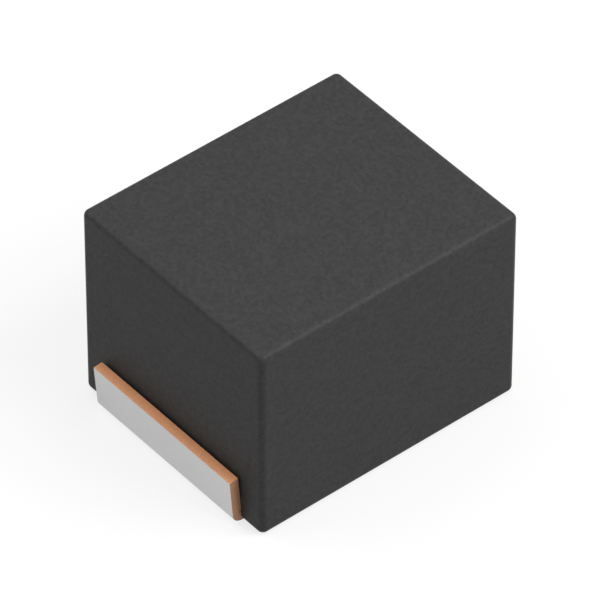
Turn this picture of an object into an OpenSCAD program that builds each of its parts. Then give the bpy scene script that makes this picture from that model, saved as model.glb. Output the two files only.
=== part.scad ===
// Shielded surface-mount inductor in the 1210 chip outline.
// A wire-wound ferrite drum stands in a ferrite sleeve, between two folded
// terminals, and a dark compound is moulded round the lot.
// X runs along the length, Z points away from the board, and the origin lies
// on the board under the middle of the part. All sizes are in millimetres.

/* [Moulded body] */
// Length of the moulded block
body_l = 2.935; // [2.88:0.005:3.1]
// Width of the moulded block
body_w = 2.5; // [2.3:0.05:2.7]
// Height of the moulded block
body_h = 2.152; // [2.05:0.002:2.4]
// Radius of the block's edges and corners
edge_r = 0.067; // [0.03:0.001:0.1]
// Height of the block's underside above the board
standoff = 0.005; // [0.002:0.001:0.04]

/* [Terminals] */
// Thickness of the terminal strip
strip_t = 0.1; // [0.08:0.005:0.12]
// Width of the leg and of the solder pad
strip_w = 1.92; // [1.75:0.01:2.2]
// Height of the leg's sheared end above the board
leg_h = 0.534; // [0.3:0.002:0.8]
// Angle by which the leg springs away from the end face
leg_lean = 4.6; // [0:0.1:8]
// Inside radius of the heel, where the pad turns up into the leg
heel_r = 0.01; // [0.005:0.005:0.04]
// Depth to which the heel beds into the end face
heel_bed = 0.007; // [0.002:0.001:0.02]
// Inside radius of the bend from the pad up into the moulding
riser_r = 0.05; // [0.03:0.01:0.08]
// Width of the tongue that is bonded to the core
tongue_w = 0.46; // [0.3:0.02:0.5]
// Height of the tongue's tip above the core's axis
tongue_rise = 0.36; // [0.26:0.02:0.5]
// Width of the tab's shoulder beyond the outermost solder joint
shoulder = 0.03; // [0.01:0.01:0.06]

/* [Ferrite drum core] */
// Length of the drum over its flanges
core_l = 1.9; // [1.7:0.05:2.05]
// Diameter of the post that carries the winding
post_d = 0.54; // [0.5:0.02:0.6]
// Thickness of each flange
flange_t = 0.22; // [0.18:0.02:0.3]
// Height of the flange's rim above the last layer of wire
rim_h = 0.036; // [0.02:0.002:0.06]
// Chamfer on the edges of the drum's flanges
rim_chamfer = 0.03; // [0.01:0.01:0.05]

/* [Winding] */
// Diameter of the enamelled wire
wire_d = 0.12; // [0.1:0.005:0.125]
// Number of layers, which is odd so that the wire ends at opposite flanges
layers = 3; // [1, 3]
// Least space between neighbouring turns
turn_gap = 0.006; // [0.004:0.001:0.02]
// Space between layers, and between the post and the first layer
layer_gap = 0.006; // [0.004:0.001:0.012]
// Room that the upper layers leave beside the first tail
lead_room = 0.055; // [0.05:0.005:0.08]
// Radius of the bends in the wire's two tails, at the middle of the wire
tail_bend = 0.12; // [0.11:0.005:0.15]
// Length of tail that lies on the terminal
tail_run = 0.28; // [0.2:0.01:0.34]
// Space round the tails in the flanges' slots
slot_gap = 0.02; // [0.01:0.005:0.04]

/* [Shield sleeve] */
// Space between the flanges and the sleeve's bore
sleeve_gap = 0.02; // [0.01:0.005:0.04]
// Wall of the sleeve
sleeve_wall = 0.14; // [0.1:0.01:0.17]
// Chamfer on the sleeve's outer edges
sleeve_chamfer = 0.03; // [0.01:0.01:0.05]

/* [Joints] */
// Thickness of the adhesive between a terminal and the core
bond_t = 0.02; // [0.01:0.005:0.04]
// Radius of the solder that holds a tail on its terminal
solder_r = 0.16; // [0.14:0.01:0.18]
// Thickness of the solder between a tail and its terminal
solder_film = 0.006; // [0.004:0.001:0.012]

/* [Hidden] */
$fn = 48;

// Room for cutting tools to run past a surface
over = 0.5;

// Sides of the wire's section, and rings along one turn and one bend
wire_sides = 8;
turn_rings = 16;
bend_rings = 5;
// Part of a turn in which the wire climbs from one layer to the next
climb = 0.25;

end_x = body_l / 2;
axis_z = standoff + body_h / 2;
wire_r = wire_d / 2;
post_r = post_d / 2;
// Straight steps between the rings cut the corners, so the rings stand out
first_r = (post_r + layer_gap + wire_r) / cos(180 / turn_rings);
layer_pitch = wire_d + layer_gap;
last_r = first_r + (layers - 1) * layer_pitch;
flange_r = last_r + wire_r + rim_h;
bore_r = flange_r + sleeve_gap;
sleeve_r = bore_r + sleeve_wall;

// The turns fill the drum's window evenly, in as many turns as its shortest
// layer can hold
window_x = core_l / 2 - flange_t;
wind_x = window_x - wire_r - turn_gap;
layer_turns = floor((2 * wind_x - lead_room) / (wire_d + turn_gap));
// The last layer stops where the whole winding has made an odd half turn
last_turns = layer_turns - ((layers - 1) * climb + 0.5) % 1;

// Faces of the tab that stands against the core
tab_x = core_l / 2 + bond_t;
tab_face = tab_x + strip_t;
riser_x = tab_face + riser_r;
heel_x = end_x - heel_bed - heel_r;
heel_z = strip_t + heel_r;

// The tails leave through the slots below the axis and turn down the tabs
tail_x = tab_face + solder_film + wire_r;
tail_z = axis_z - tail_bend;
shoulder_z = tail_z - tail_bend;
solder_z = shoulder_z - tail_run;
slot_w = 2 * (tail_bend + wire_r + slot_gap);
base_w = 2 * (last_r + solder_r + shoulder);

// ---- Moulded body ----

// The children, and the children mirrored across the plane normal to v
module both_sides(v) {
    children();
    mirror(v)
        children();
}

// A rounded edge, along Z
module edge_rod(length, r) {
    translate([0, 0, -length / 2])
        rotate_extrude(angle = 90)
            square([r, length]);
}

// A block with all its edges and corners rounded
module rounded_block(size, r) {
    half = size / 2 - [r, r, r];
    cube(size - [0, 2 * r, 2 * r], center = true);
    cube(size - [2 * r, 0, 2 * r], center = true);
    cube(size - [2 * r, 2 * r, 0], center = true);
    both_sides([0, 1, 0])
        both_sides([0, 0, 1])
            translate([0, half.y, half.z])
                rotate([90, 0, 90])
                    edge_rod(2 * half.x, r);
    both_sides([1, 0, 0])
        both_sides([0, 0, 1])
            translate([half.x, 0, half.z])
                rotate([90, 0, 0])
                    edge_rod(2 * half.y, r);
    both_sides([1, 0, 0])
        both_sides([0, 1, 0]) {
            translate([half.x, half.y, 0])
                edge_rod(2 * half.z, r);
            both_sides([0, 0, 1])
                translate(half)
                    rotate_extrude(angle = 90)
                        intersection() {
                            circle(r = r);
                            square(r);
                        }
        }
}

// The compound fills the block and leaves out what it is moulded round
module moulded_body() {
    color([0.25, 0.25, 0.26])
        difference() {
            translate([0, 0, axis_z])
                rounded_block([body_l, body_w, body_h], edge_r);
            sleeve_envelope();
            for (side = [0, 1])
                at_end(side) {
                    terminal();
                    core_bond();
                    solder_dome(tail_y(side));
                }
            wire_tail(0);
            wire_tail(1);
        }
}

// ---- Terminals ----

// End 1 is the right one, and end 0 is the same turned half round the Z axis
module at_end(side) {
    rotate([0, 0, side == 1 ? 0 : 180])
        children();
}

// Distance of each tail from the middle plane, counted in its own end's frame
function tail_y(side) = side == 1 ? -last_r : -first_r;

// A quarter or less of a flat ring: one bend of the strip in side view
module strip_bend(r, from, to) {
    reach = 2 * (r + strip_t);
    intersection() {
        difference() {
            circle(r = r + strip_t);
            circle(r = r);
        }
        polygon([
            [0, 0],
            reach * [cos(from), sin(from)],
            reach * [cos((from + to) / 2), sin((from + to) / 2)],
            reach * [cos(to), sin(to)]
        ]);
    }
}

// The folded strip in side view: leg, heel, pad, riser and tab
module strip_profile() {
    leg_l = (leg_h - heel_z + heel_r * sin(leg_lean)) / cos(leg_lean);
    translate([heel_x, heel_z]) {
        strip_bend(heel_r, -90, -leg_lean);
        rotate(-leg_lean)
            translate([heel_r, 0])
                square([strip_t, leg_l]);
    }
    translate([riser_x, 0])
        square([heel_x - riser_x, strip_t]);
    translate([riser_x, strip_t + riser_r])
        strip_bend(riser_r, 180, 270);
    translate([tab_x, strip_t + riser_r])
        square([strip_t, axis_z + tongue_rise - strip_t - riser_r]);
}

// The tab seen along the length: a broad base and a tongue with a round tip
module tab_outline() {
    tip_z = axis_z + tongue_rise - tongue_w / 2;
    translate([-base_w / 2, 0])
        square([base_w, shoulder_z]);
    translate([-tongue_w / 2, 0])
        square([tongue_w, tip_z]);
    translate([0, tip_z])
        circle(d = tongue_w);
}

// Turns a drawing in the plane of Y and Z into a plate that faces along X
module plate_along_x(from_x, to_x) {
    translate([from_x, 0, 0])
        rotate([90, 0, 90])
            linear_extrude(to_x - from_x)
                children();
}

// One piece of strip, folded, with its full width from the tab outwards
module terminal() {
    intersection() {
        translate([0, strip_w / 2, 0])
            rotate([90, 0, 0])
                linear_extrude(strip_w)
                    strip_profile();
        union() {
            plate_along_x(tab_x - over, tab_face)
                tab_outline();
            translate([tab_face, -strip_w / 2, -over])
                cube([end_x - tab_face + over, strip_w, leg_h + 2 * over]);
        }
    }
}

module left_terminal() {
    color([0.73, 0.73, 0.72])
        at_end(0) terminal();
}

module right_terminal() {
    color([0.73, 0.73, 0.72])
        at_end(1) terminal();
}

// ---- Ferrite drum core ----

// A spool turned about X, with a slot for the tail in each flange
module drum_core() {
    color([0.2, 0.19, 0.2])
        translate([0, 0, axis_z])
            difference() {
                rotate([0, 90, 0])
                    rotate_extrude()
                        drum_profile();
                for (side = [0, 1])
                    at_end(side)
                        translate([window_x - over / 2, -flange_r - over, -slot_w / 2])
                            cube([flange_t + over, flange_r + over - post_r, slot_w]);
            }
}

// Half of the spool's section, with its rims chamfered
module drum_profile() {
    rim_x = core_l / 2 - rim_chamfer;
    polygon([
        [0, -core_l / 2],
        [flange_r - rim_chamfer, -core_l / 2],
        [flange_r, -rim_x],
        [flange_r, -window_x],
        [post_r, -window_x],
        [post_r, window_x],
        [flange_r, window_x],
        [flange_r, rim_x],
        [flange_r - rim_chamfer, core_l / 2],
        [0, core_l / 2]
    ]);
}

// ---- Shield sleeve ----

// The sleeve's outside, filled: the space that it takes from the compound
module sleeve_envelope() {
    edge_x = core_l / 2 - sleeve_chamfer;
    translate([0, 0, axis_z])
        rotate([0, 90, 0])
            rotate_extrude()
                polygon([
                    [0, -core_l / 2],
                    [sleeve_r - sleeve_chamfer, -core_l / 2],
                    [sleeve_r, -edge_x],
                    [sleeve_r, edge_x],
                    [sleeve_r - sleeve_chamfer, core_l / 2],
                    [0, core_l / 2]
                ]);
}

module shield_sleeve() {
    color([0.23, 0.22, 0.23])
        difference() {
            sleeve_envelope();
            translate([0, 0, axis_z])
                rotate([0, 90, 0])
                    cylinder(h = core_l + over, r = bore_r, center = true);
        }
}

// ---- Winding ----

// Smooth step from 0 to 1
function ease(t) = t * t * (3 - 2 * t);

// A station is [place of the wire's middle, direction away from the axis]
function coil_station(x, r, turn) =
    let (out = [0, cos(360 * turn), sin(360 * turn)])
    [[x, 0, axis_z] + r * out, out];

function turns_of(layer) = layer == layers - 1 ? last_turns : layer_turns;

// Places along the drum that the wire has moved on by after some turns. It
// crosses over in the middle of each turn, which keeps it clear of the climbs.
function places(turns) =
    let (part = turns % 1)
    turns - part + min(1, max(0, (part - climb) / (1 - 2 * climb)));

// Stations of one layer, which runs back over the one below, and of the climb
// from its far end to the next layer
function layer_stations(layer) =
    let (
        start_turn = layer * (layer_turns + climb),
        turns = turns_of(layer),
        left_x = layer == 0 ? -wind_x : lead_room - wind_x,
        from_x = layer % 2 == 0 ? left_x : wind_x,
        to_x = layer % 2 == 0 ? wind_x : left_x,
        r = first_r + layer * layer_pitch,
        climb_rings = climb * turn_rings
    )
    [
        for (i = [0 : turns * turn_rings - 1])
            coil_station(
                from_x + (to_x - from_x) * places(i / turn_rings) / turns,
                r,
                start_turn + i / turn_rings
            ),
        if (layer < layers - 1)
            for (i = [0 : climb_rings - 1])
                coil_station(
                    to_x,
                    r + layer_pitch * ease(i / climb_rings),
                    start_turn + layer_turns + i / turn_rings
                )
    ];

// The tail at an end runs from the last turn, through the slot, down the tab.
// It lies in a plane, and dir is -1 at the left end and 1 at the right one.
function tail_stations(side) =
    let (
        dir = side == 1 ? 1 : -1,
        y = dir * tail_y(side),
        out = [0, sign(y), 0],
        slot_start = [dir * (wind_x + tail_bend), y, tail_z],
        turn_down = [dir * (tail_x - tail_bend), y, shoulder_z]
    )
    [
        for (i = [0 : bend_rings])
            let (a = 90 * i / bend_rings)
            [slot_start + tail_bend * [-dir * cos(a), 0, 1 - sin(a)], out],
        for (i = [0 : bend_rings])
            let (a = 90 * i / bend_rings)
            [turn_down + tail_bend * [dir * sin(a), 0, cos(a)], out],
        [[dir * tail_x, y, solder_z], out]
    ];

function reversed(list) = [for (i = [len(list) - 1 : -1 : 0]) list[i]];
function without_first(list) = [for (i = [1 : len(list) - 1]) list[i]];
function unit(v) = v / norm(v);

// One ring of the wire: its flats touch the true circle of the wire
function ring(stations, i) =
    let (
        last = len(stations) - 1,
        ahead = stations[min(last, i + 1)][0] - stations[max(0, i - 1)][0],
        along = unit(ahead),
        side = unit(cross(along, stations[i][1])),
        out = cross(side, along),
        corner_r = wire_r / cos(180 / wire_sides)
    )
    [
        for (k = [0 : wire_sides - 1])
            let (a = 360 * (k + 0.5) / wire_sides)
            stations[i][0] + corner_r * (cos(a) * out + sin(a) * side)
    ];

// Sweeps the wire's section through the stations
module swept_wire(stations) {
    n = len(stations);
    points = [for (i = [0 : n - 1]) each ring(stations, i)];
    walls = [
        for (i = [0 : n - 2], k = [0 : wire_sides - 1])
            let (
                next = (k + 1) % wire_sides,
                a = i * wire_sides,
                b = a + wire_sides
            )
            [a + k, b + k, b + next, a + next]
    ];
    first_cap = [for (k = [0 : wire_sides - 1]) k];
    last_cap = [for (k = [wire_sides - 1 : -1 : 0]) (n - 1) * wire_sides + k];
    polyhedron(points, concat(walls, [first_cap, last_cap]), convexity = 10);
}

// One length of wire: left tail, layers and right tail
module winding() {
    color([0.72, 0.38, 0.2])
        swept_wire(concat(
            reversed(without_first(tail_stations(0))),
            [for (layer = [0 : layers - 1]) each layer_stations(layer)],
            tail_stations(1)
        ));
}

// The stretch of tail outside the sleeve, as the compound meets it
module wire_tail(side) {
    swept_wire(side == 0 ? reversed(tail_stations(0)) : tail_stations(1));
}

// ---- Joints ----

// Adhesive between the tab and the end of the core and sleeve
module core_bond() {
    plate_along_x(core_l / 2, tab_x)
        intersection() {
            tab_outline();
            translate([0, axis_z])
                circle(r = sleeve_r - sleeve_chamfer);
        }
}

module left_core_bond() {
    color([0.82, 0.72, 0.45])
        at_end(0) core_bond();
}

module right_core_bond() {
    color([0.82, 0.72, 0.45])
        at_end(1) core_bond();
}

// A dome of solder on the tab's outer face, over the end of the tail. Its
// section has straight steps, so that it is turned as a stack of cones.
module solder_dome(y) {
    translate([tab_face, y, solder_z])
        rotate([0, 90, 0])
            rotate_extrude()
                intersection() {
                    circle(r = solder_r, $fn = 12);
                    square(solder_r);
                }
}

module solder_joint(side) {
    color([0.78, 0.78, 0.77])
        difference() {
            at_end(side) solder_dome(tail_y(side));
            wire_tail(side);
        }
}

module left_solder_joint() {
    solder_joint(0);
}

module right_solder_joint() {
    solder_joint(1);
}

moulded_body();
left_terminal();
right_terminal();
shield_sleeve();
drum_core();
winding();
left_core_bond();
right_core_bond();
left_solder_joint();
right_solder_joint();
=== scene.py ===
"""Looks of the shielded surface-mount inductor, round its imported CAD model.

Meshes are worked on in millimetres and put back in metres at the end.
X runs along the length, and Z points up from the board.
"""

import math

import bmesh
import bpy
from mathutils import Matrix, Vector


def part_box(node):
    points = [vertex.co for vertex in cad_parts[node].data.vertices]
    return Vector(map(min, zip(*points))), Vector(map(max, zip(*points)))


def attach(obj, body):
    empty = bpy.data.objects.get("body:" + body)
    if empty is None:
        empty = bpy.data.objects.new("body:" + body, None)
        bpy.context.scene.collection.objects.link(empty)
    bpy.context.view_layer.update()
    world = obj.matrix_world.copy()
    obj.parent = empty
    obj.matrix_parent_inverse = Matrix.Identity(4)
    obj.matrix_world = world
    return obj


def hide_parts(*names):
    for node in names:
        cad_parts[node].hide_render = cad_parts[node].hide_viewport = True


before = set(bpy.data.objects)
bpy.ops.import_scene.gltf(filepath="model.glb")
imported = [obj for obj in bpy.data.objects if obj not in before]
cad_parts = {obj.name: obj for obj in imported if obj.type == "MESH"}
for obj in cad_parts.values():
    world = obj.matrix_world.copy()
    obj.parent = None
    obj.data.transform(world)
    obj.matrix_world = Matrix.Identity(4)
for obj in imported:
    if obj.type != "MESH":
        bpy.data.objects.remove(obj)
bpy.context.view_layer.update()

MM = 0.001

# ---- Shapes, in millimetres ----

EDGE_R = 0.067
STRIP_T = 0.1
HEEL_R = 0.01
HEEL_BED = 0.007
RISER_R = 0.05
TONGUE_W = 0.46

# A curved face is cut until its edges turn by less than this
FINE_TURN = math.radians(4)
MOST_CUTS = 6
# Faces that turn by less than this are one flat face
FLAT_TURN = FINE_TURN / 8
# The burr left on sheared edges, which turn by more than SHARP
BURR_R = 0.004
BURR_STEPS = 2
SHARP = math.radians(35)
WELD = 1e-5
# A point this near to a surface is on it
ON_SURFACE = 50 * WELD

# ---- View ----

VIEW_AZIMUTH = math.radians(-39.565)
VIEW_ELEVATION = math.radians(43.19)
VIEW_DISTANCE = 65.87
LENS = 444.9
SENSOR = 36.0
IMAGE_SIZE = 600
RISE_PX = 0.83
# The camera sees from this share of its distance to this many times it
CLIP_NEAR, CLIP_FAR = 0.01, 100

# ---- Light and floor ----

FLOOR_SIZE = 600.0
FLOOR_DROP = 0.001
FLOOR_COLOUR = (0.28, 0.28, 0.28)
# What the camera and the mirror-like surfaces see the floor give off by itself
FLOOR_GLOW = 0.74
# Brightness of the room by height: the sine of the angle above the horizon
SKY = [
    (0.0, 0.95), (0.05, 0.85), (0.1, 0.16), (0.3, 0.12),
    (0.5, 0.52), (0.72, 0.62), (1.0, 0.75),
]

# Two round softboxes: their directions, distances, diameters and radiances
KEY_DIRECTION = (0.36, -0.58, 0.73)
KEY_DISTANCE = 40.0
KEY_DIAMETER = 30.0
KEY_RADIANCE = 4.4
FILL_DIRECTION = (-0.42, 0.50, 0.75)
FILL_DISTANCE = 40.0
FILL_DIAMETER = 34.0
FILL_RADIANCE = 1.25

# ---- Colours, as linear values ----

COMPOUND = (0.0515, 0.0515, 0.0515)
TIN = (0.555, 0.555, 0.553)
# Bare copper brightened to paint in light on the leg's cut end, which the body's end wall
# shades (painted light)
COPPER_PAINTED_LIGHT = (0.98, 0.455, 0.225)
# Bare copper darkened to paint in the shade on the strip's narrow sides (painted shade)
COPPER_PAINTED_SHADE = (0.71, 0.375, 0.21)
FERRITE = (0.045, 0.042, 0.044)
WIRE = (0.80, 0.33, 0.13)
EPOXY = (0.62, 0.42, 0.16)
SOLDER = (0.66, 0.66, 0.64)

# Places of a colour mix's sockets
MIX_A, MIX_B, MIX_RESULT = 6, 7, 2


def box_mm(node):
    """Lowest and highest corner of a CAD node, in millimetres."""
    low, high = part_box(node)
    return low / MM, high / MM


BODY_LOW, BODY_HIGH = box_mm("moulded_body")
BODY_CENTRE = (BODY_LOW + BODY_HIGH) / 2
BODY_INNER = (BODY_HIGH - BODY_LOW) / 2 - Vector((EDGE_R,) * 3)


# ---- Finer meshes ----

def mesh_of(node):
    """The CAD node's mesh, welded and in millimetres."""
    bm = bmesh.new()
    bm.from_mesh(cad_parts[node].data)
    bmesh.ops.scale(bm, vec=(1 / MM,) * 3, verts=bm.verts)
    bmesh.ops.remove_doubles(bm, verts=bm.verts, dist=WELD)
    return bm


def piece_from(bm, name, materials):
    """A scene object from a mesh in millimetres. It rides on the part's body."""
    bmesh.ops.scale(bm, vec=(MM,) * 3, verts=bm.verts)
    mesh = bpy.data.meshes.new(name)
    bm.to_mesh(mesh)
    bm.free()
    mesh.shade_smooth()
    for material in materials:
        mesh.materials.append(material)
    piece = bpy.data.objects.new(name, mesh)
    bpy.context.scene.collection.objects.link(piece)
    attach(piece, "root")
    return piece


def block_foot(point):
    """The nearest point of the block that the body's edge radius rolls round."""
    local = point - BODY_CENTRE
    return BODY_CENTRE + Vector(max(-h, min(h, v)) for v, h in zip(local, BODY_INNER))


def rod_foot(axis, centre):
    """The same for a round face: the nearest point of its axis."""
    def foot(point):
        return centre + axis * (point - centre).dot(axis)
    return foot


def refine(bm, foot, radius):
    """Cuts the round faces at this radius from the foot finer, and makes them true."""
    def outward(point):
        return (point - foot(point)).normalized()

    def on_face(vert):
        return abs((vert.co - foot(vert.co)).length - radius) < ON_SURFACE

    def lies_on(face):
        return (
            all(on_face(v) for v in face.verts)
            and abs(face.normal.dot(outward(face.calc_center_median()))) > 0.8
        )

    for _ in range(MOST_CUTS):
        bm.normal_update()
        curved = [
            e for e in bm.edges
            if any(lies_on(f) for f in e.link_faces)
            and outward(e.verts[0].co).angle(outward(e.verts[1].co)) > FINE_TURN
        ]
        if not curved:
            return
        made = bmesh.ops.subdivide_edges(bm, edges=curved, cuts=1, use_grid_fill=True)
        for v in made["geom_inner"]:
            if isinstance(v, bmesh.types.BMVert):
                v.co = foot(v.co) + outward(v.co) * radius
        bmesh.ops.triangulate(bm, faces=[f for f in bm.faces if len(f.verts) > 4])


def set_normals(piece, normal_at):
    """Gives each corner of the mesh the normal that normal_at(point, face) says."""
    mesh = piece.data
    normals = [None] * len(mesh.loops)
    for polygon in mesh.polygons:
        for i in polygon.loop_indices:
            point = mesh.vertices[mesh.loops[i].vertex_index].co / MM
            normals[i] = normal_at(point, polygon.normal)
    mesh.normals_split_custom_set(normals)


def body_normal(point, face_normal):
    """The block's own normal on its skin, and a flat one in its pockets."""
    reach = point - block_foot(point)
    if abs(reach.length - EDGE_R) > ON_SURFACE or reach.normalized().dot(face_normal) < 0.9:
        return face_normal
    return reach.normalized()


def make_body(material):
    bm = mesh_of("moulded_body")
    refine(bm, block_foot, EDGE_R)
    piece = piece_from(bm, "body_skin", [material])
    set_normals(piece, body_normal)
    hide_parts("moulded_body")


def strip_rods(side, low, high):
    """Foot and radius of each bend of a terminal's strip, and of its tongue's tip."""
    across = Vector((0, 1, 0))
    along = Vector((1, 0, 0))
    tab_face = min(abs(low.x), abs(high.x)) + STRIP_T
    heel = Vector((side * (BODY_HIGH.x - HEEL_BED - HEEL_R), 0, STRIP_T + HEEL_R))
    riser = Vector((side * (tab_face + RISER_R), 0, STRIP_T + RISER_R))
    tip = Vector((0, 0, high.z - TONGUE_W / 2))
    return [
        (rod_foot(across, heel), HEEL_R),
        (rod_foot(across, heel), HEEL_R + STRIP_T),
        (rod_foot(across, riser), RISER_R),
        (rod_foot(across, riser), RISER_R + STRIP_T),
        (rod_foot(along, tip), TONGUE_W / 2),
    ]


# Faces of tin plating, of bare copper darkened as painted shade, and of bare copper
# brightened as painted light
PLATED, SHADE_PAINTED_CUT, LIGHT_PAINTED_CUT = range(3)


def finish_of(face, low, high):
    """Which of the strip's finishes a face has.

    The strip's sides, shoulders, tongue and steps are bare cut copper darkened as painted
    shade, and the leg's end is bare cut copper brightened as painted light.
    """
    point = face.calc_center_median()
    normal = face.normal
    tab_face = min(abs(low.x), abs(high.x)) + STRIP_T
    in_tab = abs(point.x) < tab_face + WELD
    on_side = abs(normal.y) > 0.5
    leg_end = normal.z > 0.9 and abs(point.x) > BODY_HIGH.x and point.z > 2 * STRIP_T
    tab_end = in_tab and abs(normal.x) < 0.1 and point.z > 2 * (STRIP_T + RISER_R)
    step = in_tab and abs(normal.x) > 0.9 and point.z < STRIP_T + RISER_R
    # The leg's end takes the copper brightened as painted light
    if leg_end:
        return LIGHT_PAINTED_CUT
    # The sides, tab end and steps take the copper darkened as painted shade
    return SHADE_PAINTED_CUT if on_side or tab_end or step else PLATED


def make_terminal(end, side, looks):
    node = end + "_terminal"
    low, high = box_mm(node)
    bm = mesh_of(node)
    for foot, radius in strip_rods(side, low, high):
        refine(bm, foot, radius)
    bmesh.ops.dissolve_limit(bm, angle_limit=FLAT_TURN, verts=bm.verts, edges=bm.edges)
    bm.normal_update()
    for face in bm.faces:
        face.material_index = finish_of(face, low, high)
    bmesh.ops.bevel(
        bm,
        geom=[e for e in bm.edges if e.calc_face_angle() > SHARP],
        offset=BURR_R,
        segments=BURR_STEPS,
        profile=0.5,
        affect="EDGES",
        material=-1,
    )
    piece = piece_from(bm, end + "_terminal_strip", looks)
    weigh_normals(piece)
    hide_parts(node)


def weigh_normals(piece):
    """Large faces stay flat, and the narrow ones between them look round."""
    weigh = piece.modifiers.new("weigh", "WEIGHTED_NORMAL")
    weigh.mode = "FACE_AREA"
    weigh.weight = 100
    depsgraph = bpy.context.evaluated_depsgraph_get()
    mesh = bpy.data.meshes.new_from_object(piece.evaluated_get(depsgraph))
    piece.modifiers.clear()
    coarse = piece.data
    piece.data = mesh
    bpy.data.meshes.remove(coarse)
    mesh.name = piece.name


# ---- Materials ----

def set_stops(color_ramp, stops):
    """Colours or greys along a ramp: stops are (place, value), from left to right."""
    elements = color_ramp.elements
    elements.remove(elements[1])
    for place, value in stops:
        colour = value if isinstance(value, tuple) else (value,) * 3
        element = elements[0] if place == stops[0][0] else elements.new(place)
        element.position = place
        element.color = (*colour, 1.0)


class Nodes:
    """A material's node tree, with short calls for what the materials share."""

    def __init__(self, name):
        self.material = bpy.data.materials.new(name)
        self.material.use_nodes = True
        self.tree = self.material.node_tree
        self.tree.nodes.clear()
        self.shader = self.add("ShaderNodeBsdfPrincipled")
        output = self.add("ShaderNodeOutputMaterial")
        self.link(self.shader, "BSDF", output, "Surface")
        self.place = self.add("ShaderNodeTexCoord")

    def add(self, kind, **settings):
        node = self.tree.nodes.new(kind)
        for key, value in settings.items():
            setattr(node, key, value)
        return node

    def link(self, source, output, target, socket):
        self.tree.links.new(source.outputs[output], target.inputs[socket])

    def noise(self, size_mm, detail=2.0, roughness=0.5, stretch=(1, 1, 1)):
        """Noise whose grains are about size_mm across, times stretch."""
        mapping = self.add("ShaderNodeMapping")
        mapping.inputs["Scale"].default_value = [1 / (size_mm * MM * s) for s in stretch]
        self.link(self.place, "Object", mapping, "Vector")
        noise = self.add("ShaderNodeTexNoise")
        noise.inputs["Scale"].default_value = 1.0
        noise.inputs["Detail"].default_value = detail
        noise.inputs["Roughness"].default_value = roughness
        self.link(mapping, "Vector", noise, "Vector")
        return noise

    def cells(self, size_mm):
        """Random grains about size_mm across, each with a colour of its own."""
        cells = self.add("ShaderNodeTexVoronoi")
        cells.inputs["Scale"].default_value = 1 / (size_mm * MM)
        self.link(self.place, "Object", cells, "Vector")
        return cells

    def vector(self, operation, a, b=None):
        """Vector math on a socket and a constant vector or a number."""
        node = self.add("ShaderNodeVectorMath", operation=operation)
        self.tree.links.new(a, node.inputs[0])
        if b is not None:
            node.inputs[1].default_value = b
        return node.outputs["Value" if operation == "DOT_PRODUCT" else "Vector"]

    def rounding(self, centre, inner, radius):
        """0 on a block's flat faces, and up to 1 where its round edges face both ways."""
        reach = self.vector("SUBTRACT", self.place.outputs["Object"], centre)
        reach = self.vector("ABSOLUTE", reach)
        reach = self.vector("SUBTRACT", reach, inner)
        reach = self.vector("MAXIMUM", reach, (0.0, 0.0, 0.0))
        total = self.vector("DOT_PRODUCT", reach, (1.0, 1.0, 1.0))
        share = self.add("ShaderNodeMapRange")
        share.inputs["From Min"].default_value = radius
        share.inputs["From Max"].default_value = radius * 1.3
        self.tree.links.new(total, share.inputs["Value"])
        return share

    def ramp(self, source, output, stops):
        """Colours or greys along 0 to 1: stops are (place, value)."""
        ramp = self.add("ShaderNodeValToRGB")
        set_stops(ramp.color_ramp, stops)
        self.link(source, output, ramp, "Fac")
        return ramp

    def product(self, a, b, socket):
        """Puts the colours of nodes a and b, multiplied, into a socket of the shader."""
        mix = self.add("ShaderNodeMix", data_type="RGBA", blend_type="MULTIPLY")
        mix.inputs["Factor"].default_value = 1.0
        self.tree.links.new(a.outputs["Color"], mix.inputs[MIX_A])
        self.tree.links.new(b.outputs["Color"], mix.inputs[MIX_B])
        self.tree.links.new(mix.outputs[MIX_RESULT], self.shader.inputs[socket])

    def bump(self, source, depth_mm):
        """Raises the surface by up to depth_mm where the noise is bright."""
        bump = self.add("ShaderNodeBump")
        bump.inputs["Strength"].default_value = 1.0
        bump.inputs["Distance"].default_value = depth_mm * MM
        self.link(source, "Fac", bump, "Height")
        self.link(bump, "Normal", self.shader, "Normal")

    def set(self, **values):
        """Sets the shader's own sockets: set(roughness=0.5) sets Roughness."""
        for key, value in values.items():
            socket = self.shader.inputs[key.replace("_", " ").title().replace("Ior", "IOR")]
            socket.default_value = value


def shade(colour, factor):
    return tuple(c * factor for c in colour)


def compound_material():
    """Matt mineral-filled epoxy: light and dark grains, and a faint cloudiness.

    The round edges are rubbed a little smoother than the faces.
    """
    n = Nodes("moulding_compound_look")
    n.set(specular_ior_level=0.13)
    filler = n.cells(0.031)
    cloud = n.noise(0.35)
    low, high = shade(COMPOUND, 0.865), shade(COMPOUND, 1.135)
    grains = n.ramp(filler, "Color", [(0.1, low), (0.9, high)])
    clouds = n.ramp(cloud, "Fac", [(0.3, 0.96), (0.7, 1.0)])
    n.product(grains, clouds, "Base Color")
    grit = n.noise(0.03)
    rough = n.ramp(grit, "Fac", [(0.3, 0.52), (0.7, 0.62)])
    edge = n.rounding(BODY_CENTRE * MM, BODY_INNER * MM, EDGE_R * MM)
    polish = n.ramp(edge, "Result", [(0.0, 1.0), (1.0, 0.8)])
    n.product(rough, polish, "Roughness")
    n.bump(grit, 0.0006)
    return n.material


def tin_material():
    """Matt tin plating on rolled strip: tiny grains, and faint lines from the rolls."""
    n = Nodes("matt_tin_look")
    n.set(metallic=1.0)
    grain = n.noise(0.012)
    lines = n.noise(0.02, stretch=(1, 12, 1))
    tint = n.ramp(grain, "Fac", [(0.3, shade(TIN, 0.96)), (0.7, shade(TIN, 1.04))])
    drawn = n.ramp(lines, "Fac", [(0.3, 0.97), (0.7, 1.0)])
    n.product(tint, drawn, "Base Color")
    rough = n.ramp(lines, "Fac", [(0.3, 0.40), (0.7, 0.48)])
    n.link(rough, "Color", n.shader, "Roughness")
    n.bump(grain, 0.0004)
    return n.material


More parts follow.
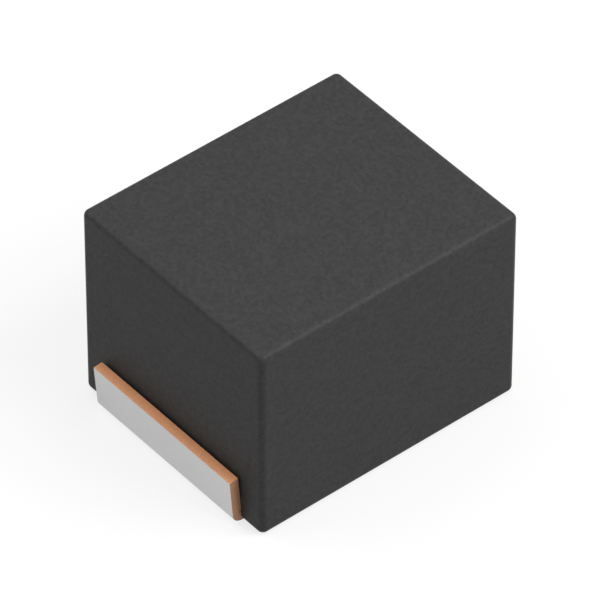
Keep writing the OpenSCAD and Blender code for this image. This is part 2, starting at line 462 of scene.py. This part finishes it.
def copper_material(name, colour):
    """Bare copper where the press cut the strip: grained, with short torn marks."""
    n = Nodes(name)
    n.set(metallic=0.15)
    grain = n.noise(0.014, detail=3.0, roughness=0.6)
    torn = n.noise(0.02, stretch=(5, 1, 1))
    tint = n.ramp(grain, "Fac", [(0.25, shade(colour, 0.86)), (0.75, shade(colour, 1.14))])
    marks = n.ramp(torn, "Fac", [(0.35, 0.92), (0.65, 1.0)])
    n.product(tint, marks, "Base Color")
    rough = n.ramp(grain, "Fac", [(0.3, 0.5), (0.7, 0.65)])
    n.link(rough, "Color", n.shader, "Roughness")
    n.bump(grain, 0.001)
    return n.material


def grained_material(name, colour, grain_mm, contrast, roughness, depth_mm, **values):
    """A plain grained surface for the pieces sealed in the moulding."""
    n = Nodes(name)
    n.set(**values)
    grain = n.noise(grain_mm, detail=3.0)
    low, high = shade(colour, 1 - contrast), shade(colour, 1 + contrast)
    tint = n.ramp(grain, "Fac", [(0.3, low), (0.7, high)])
    n.link(tint, "Color", n.shader, "Base Color")
    rough = n.ramp(grain, "Fac", [(0.3, roughness * 0.85), (0.7, roughness * 1.15)])
    n.link(rough, "Color", n.shader, "Roughness")
    n.bump(grain, depth_mm)
    return n.material


def dress(node, material):
    """Gives a CAD node that stays its procedural material."""
    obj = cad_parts[node]
    for slot in obj.material_slots:
        slot.material = material


# ---- Floor, light and camera ----

def glow_where_seen(n, glow):
    """The surface gives off glow where the camera, a mirror or a glass looks."""
    path = n.add("ShaderNodeLightPath")
    seen = path.outputs["Is Camera Ray"]
    for ray in ("Is Glossy Ray", "Is Transmission Ray"):
        either = n.add("ShaderNodeMath", operation="MAXIMUM")
        n.tree.links.new(seen, either.inputs[0])
        n.tree.links.new(path.outputs[ray], either.inputs[1])
        seen = either.outputs[0]
    scale = n.add("ShaderNodeMath", operation="MULTIPLY")
    scale.inputs[1].default_value = glow
    n.tree.links.new(seen, scale.inputs[0])
    n.tree.links.new(scale.outputs[0], n.shader.inputs["Emission Strength"])


def make_floor():
    """A plain floor that keeps the part's shadow and looks white."""
    bm = bmesh.new()
    bmesh.ops.create_grid(bm, x_segments=1, y_segments=1, size=FLOOR_SIZE / 2 * MM)
    mesh = bpy.data.meshes.new("floor")
    bm.to_mesh(mesh)
    bm.free()
    floor = bpy.data.objects.new("floor", mesh)
    floor.location.z = -FLOOR_DROP * MM
    bpy.context.scene.collection.objects.link(floor)
    n = Nodes("floor_look")
    n.shader.inputs["Base Color"].default_value = (*FLOOR_COLOUR, 1.0)
    n.set(roughness=1.0, specular_ior_level=0.0)
    n.shader.inputs["Emission Color"].default_value = (1.0, 1.0, 1.0, 1.0)
    glow_where_seen(n, FLOOR_GLOW)
    mesh.materials.append(n.material)


def make_world():
    """A soft grey room: pale at the horizon, dim above it and brighter overhead."""
    world = bpy.data.worlds.new("studio")
    bpy.context.scene.world = world
    world.use_nodes = True
    tree = world.node_tree
    tree.nodes.clear()
    place = tree.nodes.new("ShaderNodeTexCoord")
    split = tree.nodes.new("ShaderNodeSeparateXYZ")
    ramp = tree.nodes.new("ShaderNodeValToRGB")
    background = tree.nodes.new("ShaderNodeBackground")
    output = tree.nodes.new("ShaderNodeOutputWorld")
    set_stops(ramp.color_ramp, SKY)
    tree.links.new(place.outputs["Generated"], split.inputs[0])
    tree.links.new(split.outputs["Z"], ramp.inputs["Fac"])
    tree.links.new(ramp.outputs["Color"], background.inputs["Color"])
    tree.links.new(background.outputs[0], output.inputs["Surface"])


def area_lamp(name, direction, distance, diameter, radiance):
    """A round softbox that faces the part. Lengths are in millimetres.

    Its power is its radiance times pi times its area.
    """
    lamp = bpy.data.lights.new(name, "AREA")
    lamp.shape = "DISK"
    lamp.size = diameter * MM
    lamp.energy = radiance * math.pi * math.pi * (lamp.size / 2) ** 2
    obj = bpy.data.objects.new(name, lamp)
    towards = Vector(direction).normalized()
    obj.location = (BODY_CENTRE + towards * distance) * MM
    obj.rotation_mode = "QUATERNION"
    obj.rotation_quaternion = towards.to_track_quat("Z", "Y")
    obj.visible_camera = False
    bpy.context.scene.collection.objects.link(obj)


def make_camera():
    camera = bpy.data.objects.new("camera", bpy.data.cameras.new("camera"))
    bpy.context.scene.collection.objects.link(camera)
    flat = math.cos(VIEW_ELEVATION)
    back = Vector((
        math.sin(VIEW_AZIMUTH) * flat,
        -math.cos(VIEW_AZIMUTH) * flat,
        math.sin(VIEW_ELEVATION),
    ))
    camera.location = (BODY_CENTRE + back * VIEW_DISTANCE) * MM
    camera.rotation_mode = "QUATERNION"
    camera.rotation_quaternion = back.to_track_quat("Z", "Y")
    camera.data.sensor_width = SENSOR
    camera.data.lens = LENS
    camera.data.shift_y = RISE_PX / IMAGE_SIZE
    camera.data.clip_start = VIEW_DISTANCE * MM * CLIP_NEAR
    camera.data.clip_end = VIEW_DISTANCE * MM * CLIP_FAR
    bpy.context.scene.camera = camera


# ---- The scene ----

make_body(compound_material())
looks = [
    tin_material(),
    # Copper darkened as painted shade, for the strip's sides
    copper_material("copper_painted_shade_look", COPPER_PAINTED_SHADE),
    # Copper brightened as painted light, for the leg's end
    copper_material("copper_painted_light_look", COPPER_PAINTED_LIGHT),
]
make_terminal("left", -1, looks)
make_terminal("right", 1, looks)

ferrite = grained_material("ferrite_look", FERRITE, 0.02, 0.25, 0.55, 0.002)
wire = grained_material(
    "enamelled_copper_look", WIRE, 0.03, 0.06, 0.3, 0.0005, metallic=1.0, coat_weight=0.8
)
epoxy = grained_material("adhesive_look", EPOXY, 0.05, 0.1, 0.35, 0.001)
solder = grained_material("solder_look", SOLDER, 0.03, 0.06, 0.3, 0.001, metallic=1.0)
dress("drum_core", ferrite)
dress("shield_sleeve", ferrite)
dress("winding", wire)
for end in ("left", "right"):
    dress(end + "_core_bond", epoxy)
    dress(end + "_solder_joint", solder)

make_floor()
make_world()
area_lamp("key_softbox", KEY_DIRECTION, KEY_DISTANCE, KEY_DIAMETER, KEY_RADIANCE)
area_lamp("fill_softbox", FILL_DIRECTION, FILL_DISTANCE, FILL_DIAMETER, FILL_RADIANCE)
make_camera()
bpy.context.scene.view_settings.view_transform = "Standard"
